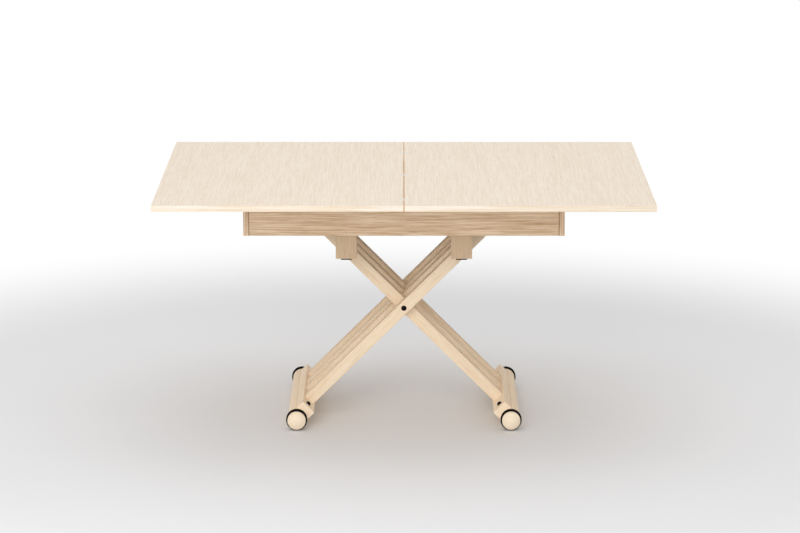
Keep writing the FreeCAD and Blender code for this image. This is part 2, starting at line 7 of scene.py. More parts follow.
import bpy
import numpy as np
from mathutils import Euler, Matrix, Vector


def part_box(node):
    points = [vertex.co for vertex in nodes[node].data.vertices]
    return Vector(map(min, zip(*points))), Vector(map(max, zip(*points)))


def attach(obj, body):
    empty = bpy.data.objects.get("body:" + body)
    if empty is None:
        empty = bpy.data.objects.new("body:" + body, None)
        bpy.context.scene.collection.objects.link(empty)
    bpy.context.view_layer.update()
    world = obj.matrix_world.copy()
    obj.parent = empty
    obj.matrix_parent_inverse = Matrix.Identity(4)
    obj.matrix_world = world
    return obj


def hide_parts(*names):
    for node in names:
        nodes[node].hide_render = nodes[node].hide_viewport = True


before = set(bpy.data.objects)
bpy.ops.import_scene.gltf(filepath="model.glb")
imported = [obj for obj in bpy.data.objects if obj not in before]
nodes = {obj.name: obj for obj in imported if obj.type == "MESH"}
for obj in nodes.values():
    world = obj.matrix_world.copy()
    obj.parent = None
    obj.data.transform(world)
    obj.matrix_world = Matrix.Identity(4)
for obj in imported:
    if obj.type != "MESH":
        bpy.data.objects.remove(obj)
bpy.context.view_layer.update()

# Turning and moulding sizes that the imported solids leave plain
EDGE_ROUND = 0.0012
STEEL_EASE = 0.0008
PAD_EASE = 0.0006
GLIDE_EASE = 0.0008
WHEEL_CROWN = 0.012
TYRE_LET_IN = 0.002
TYRE_EASE = 0.0015
CAP_R = 0.0085
CAP_RISE = 0.0035
CAP_SOCKET = 0.0052
CAP_SOCKET_DEPTH = 0.0022
BOLT_HEAD_R = 0.0085
BOLT_RISE = 0.007
BOLT_SOCKET = 0.005
BOLT_SOCKET_DEPTH = 0.0035
BOLT_SHANK_R = 0.004
BOLT_SHANK = 0.054
BAR_SEAT = 0.048
RAIL_TO_BAR = 0.017
PAD_HALF = 0.017
PAD_POWER = 24
GLIDE_R = 0.015
SPRING_GROOVE = 0.0012
SPRING_GLAND = 0.012
SPRING_ROD_R = 0.005
LEG_ANGLE = math.radians(45)
SHARP_ANGLE = math.radians(38)

# Hexagon sockets: shares of the rim at mouth and foot, and of the depth at the bevel and the drill point
SOCKET_MOUTH = 0.97
SOCKET_FOOT = 0.96
SOCKET_BEVEL = 0.15
SOCKET_POINT = 0.15

# Share of X in a direction from which it counts as lying along X
NEARLY_ALONG = 0.9

# Steps round the turned surfaces and along their arcs
RING_STEPS = 96
AXLE_STEPS = 64
ROD_STEPS = 48
CROWN_STEPS = 42
DOME_STEPS = 14
GROOVE_STEPS = 9
GLAND_STEPS = 8
TYRE_STEPS = 7
EDGE_STEPS = 6

# Camera, fitted to the photograph's key points
CAMERA_PLACE = (-0.0039, -9.8358, 2.5763)
CAMERA_PITCH = math.radians(12.1532)
CAMERA_YAW = math.radians(-0.0486)
CAMERA_LENS = 143.77
CAMERA_REACH = 100.0
SENSOR_WIDTH = 36.0

# Light and stage
WORLD_LIGHT = 0.61
OVERHEAD_PLACE = (0.2, 1.0, 4.4)
OVERHEAD_SIZE = 4.0
OVERHEAD_POWER = 45.0
FRONT_PLACE = (-1.2, -5.0, 2.6)
FRONT_SIZE = 4.0
FRONT_POWER = 136.0
LAMP_AIM = (0, 0, 0.4)
WHITE = (1, 1, 1, 1)
FLOOR_COLOUR = (0.82, 0.82, 0.83, 1)
FLOOR_ROUGHNESS = 0.6
FLOOR_REACH = 40.0
FLOOR_SHOWN = 1.5
FLOOR_FADED = 2.7

# Wood figure: each layer's stretch along and across the grain, its noise, and the levels it spreads between
BAND_LAYER = dict(along=0.7, across=15, detail=3, roughness=0.55, distortion=0.4, low=0.32, high=0.68)
STREAK_LAYER = dict(along=4.5, across=190, detail=3, roughness=0.6, distortion=0.2, low=0.34, high=0.66)
FLECK_LAYER = dict(along=13, across=330, detail=2, roughness=0.5, distortion=0.0, low=0.54, high=0.70)
HAIR_LAYER = dict(along=18, across=800, detail=2, roughness=0.5, distortion=0.0, low=0.54, high=0.74)
HAIR_SHARE = 0.7
PORES_ON_PALE = 0.3
STREAK_HEIGHT = 0.35
WOOD_SMOOTH = 0.50
WOOD_ROUGH = 0.60
WOOD_BUMP = 0.20
WOOD_BUMP_DEPTH = 0.0003
WOOD_SHINE = 0.2
OILED_SHINE = 0.03

# Mottle of the other materials: noise of its clouds and its grit, and the share that the clouds have
CLOUD_NOISE = dict(detail=3, roughness=0.55)
CLOUD_LOW = 0.3
CLOUD_HIGH = 0.7
CLOUD_SHARE = 0.6
GRIT_NOISE = dict(detail=2, roughness=0.6)

# Turns that lay the grain, which runs along a pattern's own X, along a direction of the table
GRAIN_X = (0, 0, 0)
GRAIN_Y = (0, 0, math.radians(-90))
GRAIN_Z = (0, math.radians(90), 0)
GRAIN_LEG_A = (0, LEG_ANGLE, 0)
GRAIN_LEG_B = (0, math.pi - LEG_ANGLE, 0)

# Sockets of a Mix node by kind: both inputs and the output
MIX_SOCKETS = {"FLOAT": (2, 3, 0), "VECTOR": (4, 5, 1), "RGBA": (6, 7, 2)}
GREY = (0.5, 0.5, 0.5, 1)


class Wiring:
    """Adds nodes to one tree. An input given as a socket is linked, any other value is set."""

    def __init__(self, tree):
        self.tree = tree

    def put(self, socket, value):
        if isinstance(value, bpy.types.NodeSocket):
            self.tree.links.new(value, socket)
        else:
            socket.default_value = value

    def add(self, kind, inputs, **settings):
        node = self.tree.nodes.new(kind)
        for name, value in settings.items():
            setattr(node, name, value)
        for key, value in inputs.items():
            self.put(node.inputs[key], value)
        return node

    def calc(self, operation, a, b=0.0):
        return self.add("ShaderNodeMath", {0: a, 1: b}, operation=operation).outputs[0]

    def vector_calc(self, operation, inputs, output="Vector"):
        return self.add("ShaderNodeVectorMath", inputs, operation=operation).outputs[output]

    def noise(self, vector, detail, roughness, distortion=0.0, scale=1.0):
        values = {"Vector": vector, "Scale": scale, "Detail": detail, "Roughness": roughness,
                  "Distortion": distortion}
        return self.add("ShaderNodeTexNoise", values).outputs["Fac"]

    def spread(self, value, low, high, to_low=0.0, to_high=1.0):
        values = {"Value": value, "From Min": low, "From Max": high, "To Min": to_low, "To Max": to_high}
        return self.add("ShaderNodeMapRange", values, interpolation_type="SMOOTHSTEP").outputs["Result"]

    def layer(self, vector, along, across, detail, roughness, distortion, low, high):
        stretched = self.vector_calc("MULTIPLY", {0: vector, 1: (along, across, across)})
        return self.spread(self.noise(stretched, detail, roughness, distortion), low, high)

    def blend(self, share, a, b, kind="RGBA"):
        first, second, output = MIX_SOCKETS[kind]
        return self.add("ShaderNodeMix", {0: share, first: a, second: b}, data_type=kind).outputs[output]


def new_group(name, inputs, outputs):
    """Empty shader group with named sockets; gives its wiring, and its inputs and outputs from inside."""
    tree = bpy.data.node_groups.new(name, "ShaderNodeTree")
    for label, kind, value in inputs:
        socket = tree.interface.new_socket(label, in_out="INPUT", socket_type="NodeSocket" + kind)
        socket.default_value = value
    for label, kind in outputs:
        tree.interface.new_socket(label, in_out="OUTPUT", socket_type="NodeSocket" + kind)
    give = tree.nodes.new("NodeGroupInput").outputs
    take = tree.nodes.new("NodeGroupOutput").inputs
    return Wiring(tree), give, take


def make_wood_grain():
    """Wood figure along X: broad bands of tone, narrow streaks, short dark flecks and fine hairs.

    Each layer is a stretched noise. Flecks and hairs are the pores, which show least on pale streaks.
    """
    wires, give, take = new_group(
        "wood_grain",
        [("Vector", "Vector", (0, 0, 0)), ("Pale", "Color", GREY), ("Deep", "Color", GREY),
         ("Pore", "Color", GREY), ("Fineness", "Float", 1.0), ("Bands", "Float", 0.4),
         ("Figure", "Float", 0.6), ("Pores", "Float", 0.4)],
        [("Color", "Color"), ("Roughness", "Float"), ("Height", "Float")])
    place = wires.vector_calc("SCALE", {0: give["Vector"], "Scale": give["Fineness"]})
    bands = wires.layer(place, **BAND_LAYER)
    streaks = wires.layer(place, **STREAK_LAYER)
    flecks = wires.layer(place, **FLECK_LAYER)
    hairs = wires.layer(place, **HAIR_LAYER)
    pores = wires.calc("MAXIMUM", flecks, wires.calc("MULTIPLY", hairs, HAIR_SHARE))
    figure = wires.blend(give["Bands"], streaks, bands, "FLOAT")
    tone = wires.blend(wires.calc("MULTIPLY", figure, give["Figure"]), give["Pale"], give["Deep"])
    depth = wires.calc("ADD", wires.calc("MULTIPLY", streaks, 1 - PORES_ON_PALE), PORES_ON_PALE)
    lines = wires.calc("MULTIPLY", wires.calc("MULTIPLY", pores, depth), give["Pores"])
    wires.put(take["Color"], wires.blend(lines, tone, give["Pore"]))
    wires.put(take["Roughness"], wires.spread(figure, 0, 1, WOOD_SMOOTH, WOOD_ROUGH))
    wires.put(take["Height"], wires.calc("SUBTRACT", wires.calc("MULTIPLY", streaks, STREAK_HEIGHT), pores))
    return wires.tree


def make_fine_mottle():
    """Slight cloudy change of tone, with fine grit for the height."""
    wires, give, take = new_group(
        "fine_mottle",
        [("Vector", "Vector", (0, 0, 0)), ("Tone", "Color", GREY), ("Other", "Color", GREY),
         ("Clouds", "Float", 60.0), ("Grit", "Float", 900.0), ("Smooth", "Float", 0.3),
         ("Rough", "Float", 0.6)],
        [("Color", "Color"), ("Roughness", "Float"), ("Height", "Float")])
    haze = wires.noise(give["Vector"], scale=give["Clouds"], **CLOUD_NOISE)
    clouds = wires.spread(haze, CLOUD_LOW, CLOUD_HIGH)
    grit = wires.noise(give["Vector"], scale=give["Grit"], **GRIT_NOISE)
    share = wires.calc("ADD", wires.calc("MULTIPLY", clouds, CLOUD_SHARE),
                       wires.calc("MULTIPLY", grit, 1 - CLOUD_SHARE))
    wires.put(take["Color"], wires.blend(share, give["Tone"], give["Other"]))
    wires.put(take["Roughness"], wires.spread(share, 0, 1, give["Smooth"], give["Rough"]))
    wires.put(take["Height"], grit)
    return wires.tree


WOOD_GRAIN = make_wood_grain()
FINE_MOTTLE = make_fine_mottle()


def new_material(name):
    """Empty node material; gives it with its wiring, its shader and its object coordinates."""
    material = bpy.data.materials.new(name)
    material.use_nodes = True
    wires = Wiring(material.node_tree)
    shader = material.node_tree.nodes["Principled BSDF"]
    return material, wires, shader, wires.add("ShaderNodeTexCoord", {}).outputs["Object"]


def dress_shader(wires, shader, colour_socket, pattern, shine, strength, distance):
    """Link a colour and a pattern's roughness and height, which becomes bump, and set the shine."""
    wires.put(shader.inputs["Base Color"], colour_socket)
    wires.put(shader.inputs["Roughness"], pattern["Roughness"])
    shader.inputs["Specular IOR Level"].default_value = shine
    values = {"Height": pattern["Height"], "Strength": strength, "Distance": distance}
    bump = wires.add("ShaderNodeBump", values)
    wires.put(shader.inputs["Normal"], bump.outputs["Normal"])


def place_grain(wires, coordinates, turn):
    """Coordinates turned so that the grain, along their own X, lies in the wanted direction."""
    return wires.add("ShaderNodeMapping", {"Vector": coordinates, "Rotation": Euler(turn)}).outputs[0]


def wood(name, turn, tones, fineness, bands, figure, pores, ends=None, line=None, shine=WOOD_SHINE):
    """Wood in three tones, pale, deep and pore, with its grain laid by the turn.

    Where ends is (axis, distance, turn), the grain turns past that distance from the middle. Where line is
    (direction, start, stop, colour), a strip of painted shade, standing for the shadow in a joint, lies
    between those distances along the direction, taken alike on both sides of the middle.
    """
    material, wires, shader, coordinates = new_material(name)
    vector = place_grain(wires, coordinates, turn)
    if ends:
        axis, distance, end_turn = ends
        parts = wires.add("ShaderNodeSeparateXYZ", {0: coordinates}).outputs
        past = wires.calc("GREATER_THAN", wires.calc("ABSOLUTE", parts[axis]), distance)
        vector = wires.blend(past, vector, place_grain(wires, coordinates, end_turn), "VECTOR")
    pale, deep, pore = tones
    values = {"Vector": vector, "Pale": pale, "Deep": deep, "Pore": pore,
              "Fineness": fineness, "Bands": bands, "Figure": figure, "Pores": pores}
    grain = wires.add("ShaderNodeGroup", values, node_tree=WOOD_GRAIN).outputs
    shown = grain["Color"]
    # Painted shade: the strip along the joint takes the darker colour, in place of the shadow in the joint.
    if line:
        direction, start, stop, shade = line
        both = wires.vector_calc("ABSOLUTE", {0: coordinates})
        along = wires.vector_calc("DOT_PRODUCT", {0: both, 1: direction}, "Value")
        off = wires.calc("ABSOLUTE", wires.calc("SUBTRACT", along, (start + stop) / 2))
        shown = wires.blend(wires.calc("LESS_THAN", off, (stop - start) / 2), shown, shade)
    dress_shader(wires, shader, shown, grain, shine, WOOD_BUMP, WOOD_BUMP_DEPTH)
    return material


def mottled(name, tone, other, clouds, grit, smooth, rough, metal=0.0, bump=0.1, depth=0.0002, shine=0.5):
    """Rubber, nylon, felt, enamel or plain metal: a tone that clouds into another, and a gritty surface."""
    material, wires, shader, coordinates = new_material(name)
    values = {"Vector": coordinates, "Tone": tone, "Other": other, "Clouds": clouds, "Grit": grit,
              "Smooth": smooth, "Rough": rough}
    mottle = wires.add("ShaderNodeGroup", values, node_tree=FINE_MOTTLE).outputs
    shader.inputs["Metallic"].default_value = metal
    dress_shader(wires, shader, mottle["Color"], mottle, shine, bump, depth)
    return material


def colour(red, green, blue):
    """Screen colour, 0 to 255 each, as the linear colour that a shader takes (the sRGB curve)."""
    share = np.array([red, green, blue]) / 255
    linear = np.where(share <= 0.04045, share / 12.92, ((share + 0.055) / 1.055) ** 2.4)
    return (*linear.tolist(), 1.0)


# Painted shade lines, standing for the shadow in the joints: direction, start, stop and colour
LIPPING_DEPTH = 0.003
SEAM_START = 0.0003
SEAM_STOP = 0.0016
END_JOINT_WIDTH = 0.0022
RAIL_JOINT_HALF = 0.0016
DOWN_LEG = (math.cos(LEG_ANGLE), 0, -math.sin(LEG_ANGLE))
top_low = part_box("lipping_left")[0]
frame_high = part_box("apron_left")[1]
board_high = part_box("apron_front")[1]
rail_low, rail_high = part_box("round_rail_right")
bar_end = Vector(DOWN_LEG).dot((rail_low + rail_high) / 2) - RAIL_TO_BAR
# Painted shade of the gap between the leaves, on the top and front faces beside it
SEAM_SHADE = ((1, 0, 0), SEAM_START, SEAM_STOP, colour(190, 132, 72))
# Painted shadow of the open joint where the front and back boards meet the end boards
END_JOINT_SHADE = ((1, 0, 0), board_high.x - END_JOINT_WIDTH, board_high.x, colour(140, 104, 72))
# Painted shadow of a groove along the foot bar where it meets the rail
RAIL_JOINT_SHADE = (DOWN_LEG, bar_end - RAIL_JOINT_HALF, bar_end + RAIL_JOINT_HALF, colour(206, 172, 137))

# Tones of the woods: pale, deep and pore
LEAF_TONES = (colour(243, 230, 213), colour(228, 210, 186), colour(203, 177, 147))
LIPPING_TONES = (colour(247, 237, 223), colour(226, 202, 168), colour(200, 166, 124))
APRON_TONES = (colour(235, 212, 184), colour(195, 163, 128), colour(158, 118, 82))
# Block tones are darker than the legs' and stand partly for painted shade: the shade under the apron and top.
BLOCK_SHADED_TONES = (colour(204, 180, 151), colour(178, 149, 117), colour(146, 112, 80))
LEG_TONES = (colour(244, 226, 200), colour(227, 193, 151), colour(178, 131, 86))
BAR_TONES = (colour(254, 235, 209), colour(243, 214, 179), colour(178, 131, 86))
WHEEL_TONES = (colour(249, 232, 208), colour(234, 210, 178), colour(178, 131, 86))
PLY_TONES = (colour(222, 198, 166), colour(196, 166, 130), colour(158, 122, 88))

# Figures of the woods: how fine the grain is, its share of bands, and the strength of its tones and pores
LEAF_FIGURE = dict(fineness=1.3, bands=0.2, figure=0.50, pores=0.40)
LIPPING_FIGURE = dict(fineness=1.0, bands=0.3, figure=0.62, pores=0.30)
APRON_FIGURE = dict(fineness=1.4, bands=0.25, figure=1.00, pores=0.55)
BLOCK_FIGURE = dict(fineness=2.0, bands=0.2, figure=0.50, pores=0.35)
LEG_FIGURE = dict(fineness=2.0, bands=0.15, figure=0.45, pores=0.33)
BAR_FIGURE = dict(fineness=1.4, bands=0.2, figure=0.35, pores=0.20)
WHEEL_FIGURE = dict(fineness=1.6, bands=0.2, figure=0.40, pores=0.12)
PLY_FIGURE = dict(fineness=0.7, bands=0.4, figure=0.90, pores=0.40)

# Woods
leaf_veneer = wood("leaf_veneer", GRAIN_Y, LEAF_TONES, **LEAF_FIGURE, line=SEAM_SHADE)
lipping_wood = wood("lipping_wood", GRAIN_X, LIPPING_TONES, **LIPPING_FIGURE,
                    ends=(0, -top_low.x - LIPPING_DEPTH, GRAIN_Y), line=SEAM_SHADE)
apron_wood = wood("apron_wood", GRAIN_X, APRON_TONES, **APRON_FIGURE, line=END_JOINT_SHADE)
end_board_wood = wood("end_board_wood", GRAIN_Y, APRON_TONES, **APRON_FIGURE,
                      ends=(1, frame_high.y - EDGE_ROUND, GRAIN_Z))
block_wood = wood("block_wood", GRAIN_Z, BLOCK_SHADED_TONES, **BLOCK_FIGURE)
leg_a_wood = wood("leg_a_wood", GRAIN_LEG_A, LEG_TONES, **LEG_FIGURE, shine=OILED_SHINE)
leg_b_wood = wood("leg_b_wood", GRAIN_LEG_B, LEG_TONES, **LEG_FIGURE, shine=OILED_SHINE)
bar_wood = wood("bar_wood", GRAIN_Y, BAR_TONES, **BAR_FIGURE, line=RAIL_JOINT_SHADE, shine=OILED_SHINE)
rail_wood = wood("rail_wood", GRAIN_Y, BAR_TONES, **BAR_FIGURE, shine=OILED_SHINE)
wheel_wood = wood("wheel_wood", GRAIN_X, WHEEL_TONES, **WHEEL_FIGURE, shine=OILED_SHINE)
plywood = wood("plywood", GRAIN_X, PLY_TONES, **PLY_FIGURE)
upright_wood = wood("upright_wood", GRAIN_Z, PLY_TONES, **PLY_FIGURE)

# Other materials
black_rubber = mottled("black_rubber", colour(3, 3, 3), colour(9, 9, 9), clouds=90, grit=1500,
                       smooth=0.70, rough=0.85, bump=0.25, shine=0.05)
black_steel = mottled("black_steel", colour(3, 3, 3), colour(10, 10, 10), clouds=120, grit=2200,
                      smooth=0.45, rough=0.60, bump=0.08, shine=0.12)
bright_steel = mottled("bright_steel", colour(196, 197, 200), colour(214, 215, 218), clouds=60, grit=1800,
                       smooth=0.20, rough=0.34, metal=1.0, bump=0.05)
zinc_plate = mottled("zinc_plate", colour(178, 182, 188), colour(204, 206, 208), clouds=40, grit=900,
                     smooth=0.32, rough=0.50, metal=1.0)
hinge_nickel = mottled("hinge_nickel", colour(214, 211, 204), colour(228, 226, 220), clouds=80, grit=1600,
                       smooth=0.26, rough=0.38, metal=1.0, bump=0.05)
spring_enamel = mottled("spring_enamel", colour(24, 24, 27), colour(36, 36, 40), clouds=70, grit=1300,
                        smooth=0.22, rough=0.36, bump=0.08)
runner_nylon = mottled("runner_nylon", colour(232, 231, 226), colour(244, 243, 238), clouds=50, grit=800,
                       smooth=0.38, rough=0.55)
bush_brass = mottled("bush_brass", colour(206, 172, 98), colour(222, 190, 120), clouds=60, grit=1500,
                     smooth=0.24, rough=0.40, metal=1.0, bump=0.06)
glide_felt = mottled("glide_felt", colour(86, 82, 78), colour(120, 115, 108), clouds=200, grit=3200,
                     smooth=0.90, rough=1.00, bump=0.80, depth=0.0006)

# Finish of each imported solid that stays
FINISHES = {
    "leaf_left": leaf_veneer, "leaf_right": leaf_veneer,
    "lipping_left": lipping_wood, "lipping_right": lipping_wood,
    "apron_front": apron_wood, "apron_back": apron_wood,
    "apron_left": end_board_wood, "apron_right": end_board_wood,
    "deck": plywood, "track_front": plywood, "track_back": plywood, "corner_blocks": upright_wood,
    "rest_blocks_front": block_wood, "rest_blocks_back": block_wood,
    "foot_bar_left": bar_wood, "foot_bar_right": bar_wood,
    "release_lever": black_steel,
    "pivot_rod": bright_steel, "wheel_stubs_left": bright_steel, "wheel_stubs_right": bright_steel,
    "deck_screws": bright_steel, "swivel_pin": bright_steel, "swivel_nut": bright_steel,
    "spring_anchor": zinc_plate, "spring_yoke": zinc_plate,
    "swivel_base": zinc_plate, "swivel_plate": zinc_plate,
    "hinge_flaps_left": hinge_nickel, "hinge_flaps_right": hinge_nickel, "hinge_pins": hinge_nickel,
    "runners_a": runner_nylon, "runners_b": runner_nylon, "pivot_bushes": bush_brass,
}
for place in ("front", "inner_front", "inner_rear", "rear"):
    FINISHES["leg_a_" + place] = leg_a_wood
for place in ("front", "middle", "rear"):
    FINISHES["leg_b_" + place] = leg_b_wood


def finish_node(name, material):
    """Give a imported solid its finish, in the one slot that its mesh then has."""
    slots = nodes[name].data.materials
    slots.clear()
    slots.append(material)


for name, material in FINISHES.items():
    finish_node(name, material)


def arc(centre, radius, start, stop, steps):
    """Points of a circular arc, as (radius, length): centre + radius times (cos, sin) of the turn."""
    turn = np.linspace(math.radians(start), math.radians(stop), steps)
    return np.stack([centre[0] + radius * np.cos(turn), centre[1] + radius * np.sin(turn)], 1)


def turns(steps):
    """Angles of the steps round a full turn."""
    return np.arange(steps) * 2 * np.pi / steps


def turned(profile, origin, axis, loop=False, steps=RING_STEPS):
    """Surface of revolution. Gives its points, and its faces as blocks of point numbers.

    Each profile point (radius, length) becomes origin + length along the axis + radius times the turning
    direction. A profile may give one radius and length per turn step, for shapes with flats. An open
    profile starts and ends on the axis, where single poles close it, and a loop is closed on itself.
    """
    axis = Vector(axis).normalized()
    aside = Vector((0, 0, 1)) if abs(axis.x) > NEARLY_ALONG else Vector((1, 0, 0))
    second = axis.cross(aside).normalized()
    first = second.cross(axis)
    turn = turns(steps)
    around = np.outer(np.cos(turn), first) + np.outer(np.sin(turn), second)
    grid = np.asarray(profile, float)
    if grid.ndim == 2:
        grid = np.repeat(grid[:, None, :], steps, 1)
    points = np.array(origin) + grid[..., 1:] * np.array(axis) + grid[..., :1] * around[None]
    poles = points[[0, -1], 0]
    if not loop:
        points = points[1:-1]
    rows = len(points)
    row, step = np.meshgrid(np.arange(rows if loop else rows - 1), np.arange(steps), indexing="ij")
    up, on = (row + 1) % rows, (step + 1) % steps
    quads = np.stack([row * steps + step, row * steps + on, up * steps + on, up * steps + step], -1)
    flat = points.reshape(-1, 3)
    blocks = [quads.reshape(-1, 4)]
    if not loop:
        start, stop, last = len(flat), len(flat) + 1, (rows - 1) * steps
        step = np.arange(steps)
        on = (step + 1) % steps
        blocks.append(np.stack([np.full(steps, start), on, step], -1))
        blocks.append(np.stack([np.full(steps, stop), last + step, last + on], -1))
        flat = np.concatenate([flat, poles])
    return flat, blocks


def piece(name, parts, material, body, slot, *stands_for):
    """One object from several surfaces, with smooth faces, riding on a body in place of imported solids."""
    points, faces = [], []
    base = 0
    for part_points, blocks in parts:
        points.append(part_points)
        for block in blocks:
            faces += (base + block).tolist()
        base += len(part_points)
    mesh = bpy.data.meshes.new(name)
    mesh.from_pydata(np.concatenate(points).tolist(), [], faces)
    mesh.update()
    mesh.polygons.foreach_set("use_smooth", np.ones(len(mesh.polygons), bool))
    mesh.set_sharp_from_angle(angle=SHARP_ANGLE)
    mesh.materials.append(material)
    made = bpy.data.objects.new(name, mesh)
    bpy.context.scene.collection.objects.link(made)
    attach(made, body)
    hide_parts(*stands_for)


def rod_profile(radius, start, stop, ease=EDGE_ROUND):
    """Round bar with eased end edges, from one end on the axis to the other."""
    rim = radius - ease
    return np.concatenate([[(0, start)], arc((rim, start + ease), ease, -90, 0, EDGE_STEPS),
                           arc((rim, stop - ease), ease, 0, 90, EDGE_STEPS), [(0, stop)]])


def hex_radius(flats):
    """Distance from middle to rim of a hexagon at each turn step: half flats over cos of the turn left."""
    left = (turns(RING_STEPS) + np.pi / 6) % (np.pi / 3) - np.pi / 6
    return flats / 2 / np.cos(left)


def square_radius(half):
    """Distance from the middle to the rim of a square with soft corners at each turn step: half over the
    norm of (cos, sin) of the turn with a high power."""
    turn = turns(RING_STEPS)
    return half / (np.abs(np.cos(turn)) ** PAD_POWER + np.abs(np.sin(turn)) ** PAD_POWER) ** (1 / PAD_POWER)


def socket_dome(radius, rise, flats, depth, tail):
    """Domed head with a hexagon socket, on top of a tail's points (radius, length).

    The dome is a sphere cap: length = sqrt(ball^2 - radius^2) - ball + rise, which is rise on the axis.
    """
    ball = (radius ** 2 + rise ** 2) / (2 * rise)
    rim = hex_radius(flats)
    rows = [np.full((RING_STEPS, 2), point, float) for point in tail]
    for share in np.linspace(0, 1, DOME_STEPS):
        out = radius + (rim - radius) * share
        rows.append(np.stack([out, np.sqrt(ball ** 2 - out ** 2) - ball + rise], -1))
    floor = rise - depth
    lip = np.sqrt(ball ** 2 - rim ** 2) - ball + rise
    rows.append(np.stack([rim * SOCKET_MOUTH, lip - SOCKET_BEVEL * (lip - floor)], -1))
    rows.append(np.stack([rim * SOCKET_FOOT, np.full(RING_STEPS, floor)], -1))
    rows.append(np.full((RING_STEPS, 2), (0, floor - SOCKET_POINT * depth)))
    return np.array(rows)


# Wheels and tyres
def wheel_profile(radius, width, band_start, band_stop):
    """Wheel from its inner face to its crown: eased rim, flat groove for the tyre, shoulder, sphere cap."""
    ball = (radius ** 2 + WHEEL_CROWN ** 2) / (2 * WHEEL_CROWN)
    shoulder = width - WHEEL_CROWN
    bed = radius - TYRE_LET_IN
    edge = arc((radius - EDGE_ROUND, EDGE_ROUND), EDGE_ROUND, -90, 0, EDGE_STEPS)
    groove = [(radius, band_start), (bed, band_start), (bed, band_stop), (radius, band_stop)]
    cap_start = math.degrees(math.atan2(ball - WHEEL_CROWN, radius))
    cap = arc((0, width - ball), ball, cap_start, 90, CROWN_STEPS)
    cap[-1, 0] = 0
    return np.concatenate([[(0, 0)], edge, groove, [(radius, shoulder - EDGE_ROUND)], cap])


def tyre_profile(inner, outer, band_start, band_stop):
    """Section of a flat rubber band: a rectangle whose outer corners are quarter circles."""
    rim = outer - TYRE_EASE
    return np.concatenate([[(inner, band_stop), (inner, band_start)],
                           arc((rim, band_start + TYRE_EASE), TYRE_EASE, -90, 0, TYRE_STEPS),
                           arc((rim, band_stop - TYRE_EASE), TYRE_EASE, 0, 90, TYRE_STEPS)])


def dress_wheel(end, side):
    """A turned wooden wheel and its flat rubber tyre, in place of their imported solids."""
    low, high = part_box(f"wheel_{end}_{side}")
    tyre_low, tyre_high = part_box(f"tyre_{end}_{side}")
    way, inner = (-1, high.y) if end == "front" else (1, low.y)
    origin = ((low.x + high.x) / 2, inner, (low.z + high.z) / 2)
    radius = (high.z - low.z) / 2
    band_start, band_stop = sorted((abs(tyre_low.y - inner), abs(tyre_high.y - inner)))
    outline = wheel_profile(radius, high.y - low.y, band_start, band_stop)
    band = tyre_profile(radius - TYRE_LET_IN, (tyre_high.z - tyre_low.z) / 2, band_start, band_stop)
    wheel = turned(outline, origin, (0, way, 0))
    tyre = turned(band, origin, (0, way, 0), loop=True)
    body = f"{end}_{side}_wheel"
    piece(f"wheel_turned_{end}_{side}", [wheel], wheel_wood, body, "wheel_wood", f"wheel_{end}_{side}")
    piece(f"tyre_band_{end}_{side}", [tyre], black_rubber, body, "black_rubber", f"tyre_{end}_{side}")


for end in ("front", "back"):
    for side in ("left", "right"):
        dress_wheel(end, side)


# Round rails and bolts at the feet
def dress_foot(side, way, legs):
    """Rounded rail and socket bolts of one foot."""
    low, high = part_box("round_rail_" + side)
    middle = Vector(((low.x + high.x) / 2, 0, (low.z + high.z) / 2))
    rail = turned(rod_profile((high.z - low.z) / 2, low.y, high.y), middle, (0, 1, 0))
    piece("rail_turned_" + side, [rail], rail_wood, legs, "foot_wood", "round_rail_" + side)
    along = Vector((-way * math.cos(LEG_ANGLE), 0, math.sin(LEG_ANGLE)))
    tail = [(0, -BOLT_SHANK), (BOLT_SHANK_R, -BOLT_SHANK), (BOLT_SHANK_R, 0), (BOLT_HEAD_R, 0)]
    head = socket_dome(BOLT_HEAD_R, BOLT_RISE, BOLT_SOCKET, BOLT_SOCKET_DEPTH, tail)
    bolt_low, bolt_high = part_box("foot_bolts_" + side)
    bolts = []
    for y in (bolt_low.y + BOLT_HEAD_R, bolt_high.y - BOLT_HEAD_R):
        bolts.append(turned(head, middle + along * BAR_SEAT + Vector((0, y, 0)), along))
    piece("foot_bolts_socket_" + side, bolts, black_steel, legs, "black_steel", "foot_bolts_" + side)


dress_foot("left", -1, "legs_a")
dress_foot("right", 1, "legs_b")


# Pivot caps
def dress_pivot():
    """Domed socket caps on both ends of the pivot rod."""
    low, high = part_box("pivot_caps")
    height = (low.z + high.z) / 2
    dome = socket_dome(CAP_R, CAP_RISE, CAP_SOCKET, CAP_SOCKET_DEPTH, [(0, 0), (CAP_R, 0)])
    front_cap = turned(dome, (0, low.y + CAP_RISE, height), (0, -1, 0))
    back_cap = turned(dome, (0, high.y - CAP_RISE, height), (0, 1, 0))
    piece("pivot_caps_socket", [front_cap, back_cap], black_steel, "legs_a", "black_steel", "pivot_caps")


dress_pivot()


# Axles of the carriages
def dress_axle(letter):
    """Bright axle with eased ends."""
    low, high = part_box("axle_" + letter)
    middle = ((low.x + high.x) / 2, 0, (low.z + high.z) / 2)
    outline = rod_profile((high.z - low.z) / 2, low.y, high.y, STEEL_EASE)
    axle = turned(outline, middle, (0, 1, 0), steps=AXLE_STEPS)
    body = "carriage_" + letter
    piece("axle_turned_" + letter, [axle], bright_steel, body, "bright_steel", "axle_" + letter)


for letter in ("a", "b"):
    dress_axle(letter)


